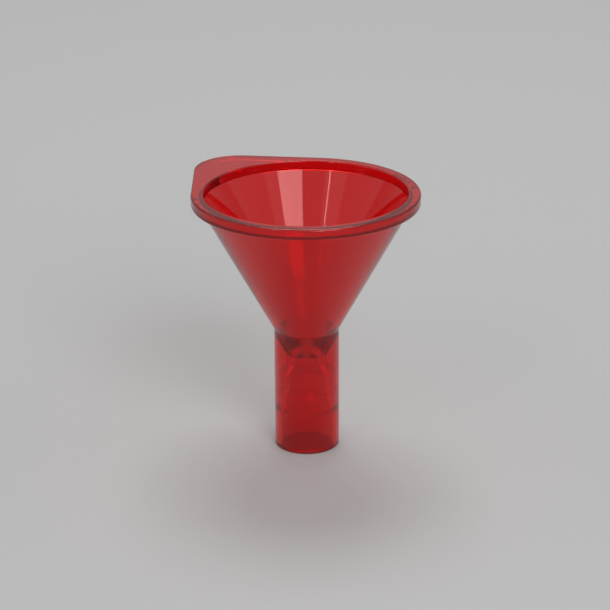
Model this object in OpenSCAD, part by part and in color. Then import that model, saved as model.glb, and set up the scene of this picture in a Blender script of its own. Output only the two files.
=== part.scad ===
// Powder funnel: a one-piece moulding, drawn as the four regions that it is made of.
// Millimetres, +Z up. The origin is the centre of the spout's lower end, the tab points along +Y.

/* [Rim] */
// Diameter of the mouth
mouth_d = 53.8; // [44:0.2:66]
// Depth of the straight wall just inside the mouth
mouth_land = 2.5; // [1.5:0.1:3.5]
// Rounding of the mouth's upper edge
mouth_edge_r = 0.4; // [0.1:0.1:0.5]
// Width of the rim, from the mouth to the round outer edge
rim_w = 3.3; // [2.7:0.1:6]
// Thickness of the rim flange
rim_t = 3; // [2.4:0.1:5]
// Rounding of the rim's outer edges
rim_edge_r = 0.6; // [0.2:0.1:0.9]

/* [Corner tab] */
// How far the corner tab stands out past the round part of the rim
tab_proud = 9.2; // [6:0.2:14]
// Radius of the tab's rounded corner
tab_corner_r = 12.2; // [6:0.2:16]

/* [Bowl] */
// Height of the bowl, from the top of the spout to the underside of the rim
bowl_h = 35; // [24:0.5:50]
// Thickness of the bowl's wall around the mouth, measured level
bowl_wall = 1; // [0.6:0.05:1.4]
// Inner diameter of the bowl where the neck begins
neck_top_d = 12.2; // [10:0.2:14.8]

/* [Spout] */
// Thickness of the spout's wall around the large socket's lower end
spout_wall = 1.85; // [1.3:0.05:3]
// Radius of the blend between the bowl and the spout
blend_r = 2; // [0.5:0.5:4]
// Rounding of the spout's lower outer edge
spout_edge_r = 0.3; // [0.1:0.1:0.5]

/* [Throat] */
// Diameter of the throat, the narrowest place
throat_d = 6.7; // [5:0.1:8.2]
// Length of the throat's straight wall
throat_len = 2.3; // [1.2:0.1:4]
// Height of the neck, from the throat to the bowl
neck_h = 6.2; // [4:0.1:9]
// How far the outer corner between spout and bowl lies above the inner one
neck_cover = 1; // [0.5:0.1:2]

/* [Sockets] */
// Diameter of the small socket
small_d = 9.5; // [8.6:0.1:10.4]
// Length of the small socket's straight wall
small_len = 4.6; // [3:0.1:8]
// Height of the seat at the top of the small socket
small_seat_h = 2.8; // [1:0.1:4]
// Height of the taper that leads from the middle socket into the small one
small_taper_h = 2.2; // [1:0.1:4]
// Diameter of the middle socket
middle_d = 11.2; // [10.5:0.1:12.4]
// Length of the middle socket's straight wall
middle_len = 3.2; // [2:0.1:6]
// Height of the seat at the top of the large socket
large_seat_h = 1.2; // [0.8:0.1:3]
// Diameter of the large socket at its upper end, just under its seat
large_top_d = 13.2; // [12.5:0.1:14.6]
// Diameter of the large socket at its lower end
large_low_d = 13.7; // [13:0.1:16.6]
// Depth of the large socket, up to its seat
large_h = 10; // [7:0.1:14]
// Size of the chamfer that leads into the large socket
lead_in = 0.5; // [0.2:0.1:0.8]

/* [Hidden] */
RED = [0.72, 0.1, 0.12, 0.8];
$fn = 128;

// Radii that follow from the sizes above
mouth_r = mouth_d / 2;
rim_r = mouth_r + rim_w;
tab_reach = rim_r + tab_proud - tab_corner_r;
bowl_top_r = mouth_r + bowl_wall;
spout_r = large_low_d / 2 + spout_wall;

// Heights, stacked from the spout's lower end upward
middle_z = large_h + large_seat_h;
taper_z = middle_z + middle_len;
small_z = taper_z + small_taper_h;
small_top_z = small_z + small_len;
throat_z = small_top_z + small_seat_h;
neck_z = throat_z + throat_len;
bowl_floor_z = neck_z + neck_h;
spout_len = bowl_floor_z + neck_cover;
rim_z = spout_len + bowl_h;
height = rim_z + rim_t;

// The blend between the spout's wall and the bowl's slope
bowl_slope = atan((bowl_top_r - spout_r) / bowl_h);
blend_run = blend_r * tan(bowl_slope / 2);
OVER = 1;

// Half of a plate's section: w wide from x = 0, t thick, with both outer edges rounded
module edge_section(w, t, e) {
    square([w - e, t]);
    translate([0, e]) square([w, t - 2 * e]);
    translate([w - e, e]) circle(e);
    translate([w - e, t - e]) circle(e);
}

module rounded_disc(r) {
    rotate_extrude($fn = 96) edge_section(r, rim_t, rim_edge_r, $fn = 16);
}

// The rim's outline: its circle and the tab's corner circle, joined by their common tangents
module rim_plate() {
    hull() {
        rounded_disc(rim_r);
        translate([0, tab_reach, 0]) rounded_disc(tab_corner_r);
    }
}

// The space inside: mouth, bowl, neck, throat, seats and sockets, as one turned shape
module cavity() {
    rotate_extrude() {
        polygon([
            [0, -OVER],
            [large_low_d / 2 + lead_in + OVER, -OVER],
            [large_low_d / 2, lead_in],
            [large_top_d / 2, large_h],
            [middle_d / 2, middle_z],
            [middle_d / 2, taper_z],
            [small_d / 2, small_z],
            [small_d / 2, small_top_z],
            [throat_d / 2, throat_z],
            [throat_d / 2, neck_z],
            [neck_top_d / 2, bowl_floor_z],
            [mouth_r, height - mouth_land],
            [mouth_r, height + OVER],
            [0, height + OVER]
        ]);
        translate([mouth_r, height - mouth_edge_r]) difference() {
            translate([-OVER, 0]) square([OVER + mouth_edge_r, mouth_edge_r + OVER]);
            translate([mouth_edge_r, 0]) circle(mouth_edge_r);
        }
    }
}

// The outside of the bowl and the spout, turned, without the space inside
module turned_outside() {
    rotate_extrude() {
        square([spout_r - spout_edge_r, rim_z]);
        translate([0, spout_edge_r]) square([spout_r, spout_len - spout_edge_r]);
        translate([spout_r - spout_edge_r, spout_edge_r]) circle(spout_edge_r);
        polygon([
            [0, spout_len],
            [spout_r, spout_len],
            [bowl_top_r, rim_z],
            [bowl_top_r, height],
            [0, height]
        ]);
        blend_section();
    }
}

// The web that rounds the inner corner between the spout's wall and the bowl
module blend_section() {
    difference() {
        polygon([
            [spout_r - OVER, spout_len - blend_run],
            [spout_r, spout_len - blend_run],
            [spout_r + blend_run * sin(bowl_slope), spout_len + blend_run * cos(bowl_slope)],
            [spout_r - OVER, spout_len + blend_run]
        ]);
        translate([spout_r + blend_r, spout_len - blend_run]) circle(blend_r);
    }
}

// A slice of the turned body between two heights
module body_slice(z0, z1) {
    difference() {
        intersection() {
            turned_outside();
            translate([0, 0, z0]) cylinder(r = rim_r, h = z1 - z0);
        }
        cavity();
    }
}

// The flat plate around the top of the bowl, with its corner tab
module rim_flange() {
    color(RED) difference() {
        translate([0, 0, rim_z]) rim_plate();
        translate([0, 0, rim_z - OVER]) cylinder(r = bowl_top_r, h = rim_t + 2 * OVER);
    }
}

// The cone and the straight wall of the mouth on top of it
module bowl_cone() {
    color(RED) body_slice(spout_len, height);
}

// The solid part of the spout around the neck and the throat
module throat_neck() {
    color(RED) body_slice(throat_z, spout_len);
}

// The lower spout with its three sockets
module spout_socket() {
    color(RED) body_slice(0, throat_z);
}

rim_flange();
bowl_cone();
throat_neck();
spout_socket();
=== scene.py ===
import math

import bpy
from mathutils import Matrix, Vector

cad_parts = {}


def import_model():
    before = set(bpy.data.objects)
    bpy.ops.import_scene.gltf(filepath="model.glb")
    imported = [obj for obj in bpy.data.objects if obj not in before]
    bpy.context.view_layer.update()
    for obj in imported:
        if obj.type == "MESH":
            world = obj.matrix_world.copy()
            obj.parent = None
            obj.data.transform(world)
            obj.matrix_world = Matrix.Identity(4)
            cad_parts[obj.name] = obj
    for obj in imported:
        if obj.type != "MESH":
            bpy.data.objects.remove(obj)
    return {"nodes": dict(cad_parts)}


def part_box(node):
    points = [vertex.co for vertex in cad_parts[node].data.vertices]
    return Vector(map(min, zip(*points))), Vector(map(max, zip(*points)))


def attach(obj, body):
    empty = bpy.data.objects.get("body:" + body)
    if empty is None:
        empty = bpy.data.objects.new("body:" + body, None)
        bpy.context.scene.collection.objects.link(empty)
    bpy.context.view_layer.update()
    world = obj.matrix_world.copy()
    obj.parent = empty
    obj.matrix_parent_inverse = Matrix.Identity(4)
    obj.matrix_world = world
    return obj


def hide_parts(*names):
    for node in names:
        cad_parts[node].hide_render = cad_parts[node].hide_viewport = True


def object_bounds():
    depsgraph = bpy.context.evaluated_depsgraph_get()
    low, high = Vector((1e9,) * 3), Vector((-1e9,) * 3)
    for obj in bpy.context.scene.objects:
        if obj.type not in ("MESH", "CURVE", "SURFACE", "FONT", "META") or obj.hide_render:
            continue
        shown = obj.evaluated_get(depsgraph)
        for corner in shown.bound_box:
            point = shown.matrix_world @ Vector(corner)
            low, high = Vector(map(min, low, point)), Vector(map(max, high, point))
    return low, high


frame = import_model()
CAD_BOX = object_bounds()

MM = 0.001
SAME = 0.05 * MM  # sizes closer than this are one size
NODES = ("rim_flange", "bowl_cone", "throat_neck", "spout_socket")

# Mesh density
AROUND = 320                 # points in one ring round the axis
ARC_STEP = math.radians(12)  # longest turn between two rings of a rounding
LEAST_STEPS = 3              # fewest steps in a rounding
LONG_STEP = 1.5 * MM         # longest stretch of a profile between two rings
HOLD = 0.08 * MM             # a ring this close beside each rounding keeps its shading tight
ROOM_SHARE = 0.48            # a rounding takes at most this share of the shorter side beside it
STRAIGHT = math.radians(89.5)  # a corner with half its angle above this is left as it is

# Roundings that the CAD has too
MOUTH_ROUND = 0.4 * MM
FOOT_ROUND = 0.3 * MM
RIM_ROUND = 0.6 * MM
NECK_ROUND = 2.0 * MM

# Roundings of corners that are sharp in the CAD
SEAT_ROUND = 0.3 * MM
THROAT_ROUND = 1.5 * MM
BOWL_FLOOR_ROUND = 5.0 * MM
LAND_ROUND = 0.25 * MM
UNDER_ROUND = 0.5 * MM
LEAD_IN_ROUND = 0.1 * MM

# The rings on the flat faces where one stretch of the skin hands over to the next.
# Each is given by its distance from the spout's wall, the mouth, the bowl or the rim's outline.
FOOT_FACE_IN = 0.8 * MM
FOOT_FACE_OUT = 0.5 * MM
TOP_FACE_IN = 1.2 * MM
TOP_FACE_OUT = 2.0 * MM
UNDER_FACE_IN = 0.9 * MM
UNDER_FACE_OUT = 1.4 * MM


# ---------------------------------------------------------------- sizes read from the frame

FACES_IN = -0.05  # a face whose normal leans inward by this much or more lines the space inside
RING_GAP = 0.1    # two rings are one when they are no further apart in height, in millimetres


def cavity_corners(names):
    """The rings of the space inside, from the foot up, each as (radius, height)."""
    found = set()
    for name in names:
        mesh = frame["nodes"][name].data
        for face in mesh.polygons:
            outward = Vector((face.center.x, face.center.y, 0)).normalized()
            if face.normal.dot(outward) < FACES_IN:
                for i in face.vertices:
                    v = mesh.vertices[i].co
                    found.add((round(v.z / MM, 2), round(math.hypot(v.x, v.y) / MM, 2)))
    kept = []
    for z, r in sorted(found):
        if not kept or z - kept[-1][1] / MM > RING_GAP:
            kept.append((r * MM, z * MM))
    return kept


def reach(angle):
    """How far the rim's outline stands out from the axis in one direction."""
    way = Vector((math.cos(angle), math.sin(angle), 0))
    return max(v.co.dot(way) for v in frame["nodes"]["rim_flange"].data.vertices)


rim_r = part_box("rim_flange")[1].x
rim_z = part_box("rim_flange")[0].z
top_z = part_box("rim_flange")[1].z
spout_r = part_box("spout_socket")[1].x
spout_top_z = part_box("bowl_cone")[0].z
bowl_top_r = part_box("bowl_cone")[1].x
# The tab's corner circle, from the outline's reach straight at the tab and 30 degrees beside it
AT_TAB, BESIDE_TAB = math.radians(90), math.radians(60)
tab_reach = (reach(AT_TAB) - reach(BESIDE_TAB)) / (1 - math.sin(BESIDE_TAB))
tab_corner_r = reach(AT_TAB) - tab_reach


# ---------------------------------------------------------------- profiles and rings

def arc_points(before, corner, after, radius):
    """The corner of a profile, rounded, with a holding point on each side."""
    a, b, c = Vector(before), Vector(corner), Vector(after)
    u, v = (a - b).normalized(), (c - b).normalized()
    half = math.acos(max(-1, min(1, u.dot(v)))) / 2
    if radius <= 0 or half > STRAIGHT:
        return [tuple(b)]
    cut = radius / math.tan(half)
    room = min((a - b).length, (c - b).length) * ROOM_SHARE
    if cut > room:
        radius *= room / cut
        cut = room
    centre = b + (u + v).normalized() * (radius / math.sin(half))
    turn = math.pi - 2 * half
    steps = max(LEAST_STEPS, math.ceil(turn / ARC_STEP))
    start = (b + u * cut) - centre
    side = 1 if (start.x * (b - centre).y - start.y * (b - centre).x) > 0 else -1
    points = []
    for i in range(steps + 1):
        t = side * turn * i / steps
        points.append((centre.x + start.x * math.cos(t) - start.y * math.sin(t),
                       centre.y + start.x * math.sin(t) + start.y * math.cos(t)))
    hold = min(HOLD, room - cut)
    if hold > 0:
        points = [tuple(b + u * (cut + hold))] + points + [tuple(b + v * (cut + hold))]
    return points


def rounded(profile):
    """profile is a list of (radius, height, rounding). The ends stay as they are."""
    out = [profile[0][:2]]
    for i in range(1, len(profile) - 1):
        out += arc_points(profile[i - 1][:2], profile[i][:2], profile[i + 1][:2], profile[i][2])
    out.append(profile[-1][:2])
    filled = [out[0]]
    for p in out[1:]:
        q = filled[-1]
        steps = max(1, math.ceil((Vector(p) - Vector(q)).length / LONG_STEP))
        for i in range(1, steps + 1):
            filled.append((q[0] + (p[0] - q[0]) * i / steps, q[1] + (p[1] - q[1]) * i / steps))
    return filled


def outline(angle, inset):
    """Distance from the axis to the rim's outline, moved in by inset, in one direction."""
    big, small = rim_r - inset, tab_corner_r - inset
    turn = math.asin((big - small) / tab_reach)
    side = abs((angle - math.pi / 2 + math.pi) % (2 * math.pi) - math.pi)   # angle from the tab
    tangent = math.pi / 2 - turn
    if side >= tangent:
        return big
    corner_side = math.atan2(small * math.cos(turn), tab_reach + small * math.sin(turn))
    if side >= corner_side:
        return big / math.cos(tangent - side)
    return tab_reach * math.cos(side) + math.sqrt(small ** 2 - (tab_reach * math.sin(side)) ** 2)


ring_angles = [2 * math.pi * (j + 0.5) / AROUND for j in range(AROUND)]


def turned_ring(r, z):
    return [(r * math.cos(a), r * math.sin(a), z) for a in ring_angles]


def rim_ring(inset, z):
    return [(outline(a, inset) * math.cos(a), outline(a, inset) * math.sin(a), z) for a in ring_angles]


def ring_mesh(name, rings):
    """One closed skin through a closed loop of rings."""
    count = len(rings)
    faces = []
    for k in range(count):
        nxt = (k + 1) % count
        for j in range(AROUND):
            j2 = (j + 1) % AROUND
            faces.append((k * AROUND + j, nxt * AROUND + j, nxt * AROUND + j2, k * AROUND + j2))
    mesh = bpy.data.meshes.new(name)
    mesh.from_pydata([p for ring in rings for p in ring], [], faces)
    mesh.validate()
    mesh.polygons.foreach_set("use_smooth", [True] * len(mesh.polygons))
    mesh.update()
    piece = bpy.data.objects.new(name, mesh)
    bpy.context.scene.collection.objects.link(piece)
    return piece


def cavity_profile():
    """The inside from the foot to the mouth, with a rounding for each corner."""
    found = [p for p in cavity_corners(("bowl_cone", "throat_neck", "spout_socket"))
             if p[1] < top_z - MOUTH_ROUND - SAME]
    narrow = min(p[0] for p in found)
    throat_top = max(p[1] for p in found if p[0] < narrow + SAME)
    shaped, floor_done = [], False
    for r, z in found:
        soft = SEAT_ROUND
        if abs(z - throat_top) < SAME:
            soft = THROAT_ROUND
        elif z > throat_top and not floor_done:
            soft, floor_done = BOWL_FLOOR_ROUND, True
        elif z > rim_z:
            soft = LAND_ROUND
        shaped.append((r, z, soft))
    return shaped


def funnel():
    inner = cavity_profile()
    mouth_r = inner[-1][0]
    rings = []
    # inside, from the foot up, and over the mouth's edge
    inside = [(spout_r - FOOT_FACE_IN, 0, 0), (inner[0][0], 0, LEAD_IN_ROUND)] + inner[1:]
    inside += [(mouth_r, top_z, MOUTH_ROUND), (mouth_r + TOP_FACE_IN, top_z, 0)]
    for r, z in rounded(inside):
        rings.append(turned_ring(r, z))
    # the rim's top face, its rounded edge and its underside
    edge = [(TOP_FACE_OUT, top_z, 0), (0, top_z, RIM_ROUND)]
    edge += [(0, rim_z, RIM_ROUND), (UNDER_FACE_OUT, rim_z, 0)]
    for inset, z in rounded(edge):
        rings.append(rim_ring(inset, z))
    # the outside, from under the rim down to the foot
    outside = [(bowl_top_r + UNDER_FACE_IN, rim_z, 0), (bowl_top_r, rim_z, UNDER_ROUND)]
    outside += [(spout_r, spout_top_z, NECK_ROUND)]
    outside += [(spout_r, 0, FOOT_ROUND), (spout_r - FOOT_FACE_OUT, 0, 0)]
    for r, z in rounded(outside):
        rings.append(turned_ring(r, z))
    return ring_mesh("funnel", rings)


# ---------------------------------------------------------------- material

def red_plastic():
    mat = bpy.data.materials.new("red_plastic")
    mat.use_nodes = True
    nodes, links = mat.node_tree.nodes, mat.node_tree.links
    shader = nodes["Principled BSDF"]
    shader.inputs["Base Color"].default_value = (0.85, 0.04, 0.05, 1)
    shader.inputs["Roughness"].default_value = 0.04
    shader.inputs["IOR"].default_value = 1.57
    shader.inputs["Transmission Weight"].default_value = 0.9
    # painted reflection colour: the reflections are tinted red to stand in for the red-lit shadow that
    # the funnel casts on the floor it reflects
    shader.inputs["Specular Tint"].default_value = (0.65, 0.6, 0.6, 1)
    dye = nodes.new("ShaderNodeVolumeAbsorption")
    dye.inputs["Color"].default_value = (0.998, 0.03, 0.05, 1)
    dye.inputs["Density"].default_value = 4000
    links.new(dye.outputs[0], nodes["Material Output"].inputs["Volume"])
    return mat


# ---------------------------------------------------------------- stage, light and camera

VIEW_AZIMUTH = math.radians(-41.4)  # the camera's own right, as an angle from +X
VIEW_HEIGHT = 21.35                 # degrees that the camera looks down
VIEW_AWAY = 600 * MM
VIEW_ROLL = math.radians(-0.36)
AIM_HEIGHT = 39.73 * MM
AIM_LEFT = 0.4 * MM                 # how far left of the axis the camera aims
LENS = 132.722                      # focal length in mm, on a sensor 36 mm wide
SENSOR = 36
LIGHTS_AIM = 0.05                   # height that the lights point at, in metres
WALLS_END = math.radians(42)        # height up to which the walls are evenly lit
CEILING_START = math.radians(62)    # height from which the ceiling is at its darkest
FLOOR_HALF = 3.0                    # half of the floor's width, in metres
FLOOR_GAP = 0.0002                  # the floor lies this far under the foot, in metres
FLOOR_ROUGHNESS = 0.9


def plain(name, colour, roughness):
    mat = bpy.data.materials.new(name)
    mat.use_nodes = True
    shader = mat.node_tree.nodes["Principled BSDF"]
    shader.inputs["Base Color"].default_value = (*colour, 1)
    shader.inputs["Roughness"].default_value = roughness
    return mat


def floor(shade):
    corners = [(-FLOOR_HALF, -FLOOR_HALF, 0), (FLOOR_HALF, -FLOOR_HALF, 0)]
    corners += [(FLOOR_HALF, FLOOR_HALF, 0), (-FLOOR_HALF, FLOOR_HALF, 0)]
    mesh = bpy.data.meshes.new("floor")
    mesh.from_pydata(corners, [], [(0, 1, 2, 3)])
    obj = bpy.data.objects.new("floor", mesh)
    bpy.context.scene.collection.objects.link(obj)
    obj.location.z = CAD_BOX[0][2] - FLOOR_GAP
    obj.data.materials.append(plain("floor_pale", (shade, shade, shade), FLOOR_ROUGHNESS))


def round_the_object(side, height, away):
    """A place seen from the object: side degrees right of the camera, height degrees up."""
    a = VIEW_AZIMUTH - math.pi / 2 + math.radians(side)
    e = math.radians(height)
    return Vector((math.cos(a) * math.cos(e), math.sin(a) * math.cos(e), math.sin(e))) * away


def soft_box(name, side, height, away, wide, tall, power):
    """A rectangular light, sizes and distance in metres and power in watts, aimed at the funnel."""
    light = bpy.data.lights.new(name, "AREA")
    light.shape = "RECTANGLE"
    light.size = wide
    light.size_y = tall
    light.energy = power
    obj = bpy.data.objects.new(name, light)
    bpy.context.scene.collection.objects.link(obj)
    aim = Vector((0, 0, LIGHTS_AIM))
    obj.location = aim + round_the_object(side, height, away)
    obj.rotation_euler = (aim - obj.location).to_track_quat("-Z", "Y").to_euler()
    obj.visible_camera = False


def world(walls, ceiling):
    """Evenly lit walls all round, which fade into a darker ceiling."""
    w = bpy.data.worlds.new("studio")
    bpy.context.scene.world = w
    w.use_nodes = True
    nodes, links = w.node_tree.nodes, w.node_tree.links
    way = nodes.new("ShaderNodeTexCoord")
    split = nodes.new("ShaderNodeSeparateXYZ")
    fade = nodes.new("ShaderNodeMapRange")
    fade.inputs["From Min"].default_value = math.sin(WALLS_END)
    fade.inputs["From Max"].default_value = math.sin(CEILING_START)
    fade.inputs["To Min"].default_value = walls
    fade.inputs["To Max"].default_value = ceiling
    links.new(way.outputs["Generated"], split.inputs[0])
    links.new(split.outputs["Z"], fade.inputs["Value"])
    links.new(fade.outputs[0], nodes["Background"].inputs["Strength"])
    nodes["Background"].inputs["Color"].default_value = (1, 1, 1, 1)


def camera():
    data = bpy.data.cameras.new("camera")
    data.sensor_width = SENSOR
    data.lens = LENS
    data.clip_start = 0.01
    obj = bpy.data.objects.new("camera", data)
    bpy.context.scene.collection.objects.link(obj)
    right = Vector((math.cos(VIEW_AZIMUTH), math.sin(VIEW_AZIMUTH), 0))
    target = Vector((0, 0, AIM_HEIGHT)) - right * AIM_LEFT
    away = round_the_object(0, VIEW_HEIGHT, VIEW_AWAY)
    obj.location = target + away
    obj.rotation_euler = (-away).to_track_quat("-Z", "Y").to_euler()
    obj.rotation_euler.rotate_axis("Z", VIEW_ROLL)
    bpy.context.scene.camera = obj


camera()
world(walls=0.4, ceiling=0.15)
floor(shade=0.5)
soft_box("back_box", side=180, height=62, away=1.3, wide=0.6, tall=0.6, power=6.8)
for name, side in (("left_panel", -80), ("front_panel", 0), ("right_panel", 80)):
    soft_box(name, side, height=40, away=1.6, wide=2.8, tall=0.9, power=3)
soft_box("stripe_box", side=21.2, height=37, away=1.4, wide=0.6, tall=0.9, power=7)
soft_box("thin_box", side=-32.5, height=37, away=1.4, wide=0.025, tall=0.9, power=0.55)
bpy.context.scene.view_settings.view_transform = "Standard"

piece = funnel()
piece.data.materials.append(red_plastic())
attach(piece, "root")
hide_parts(*NODES)
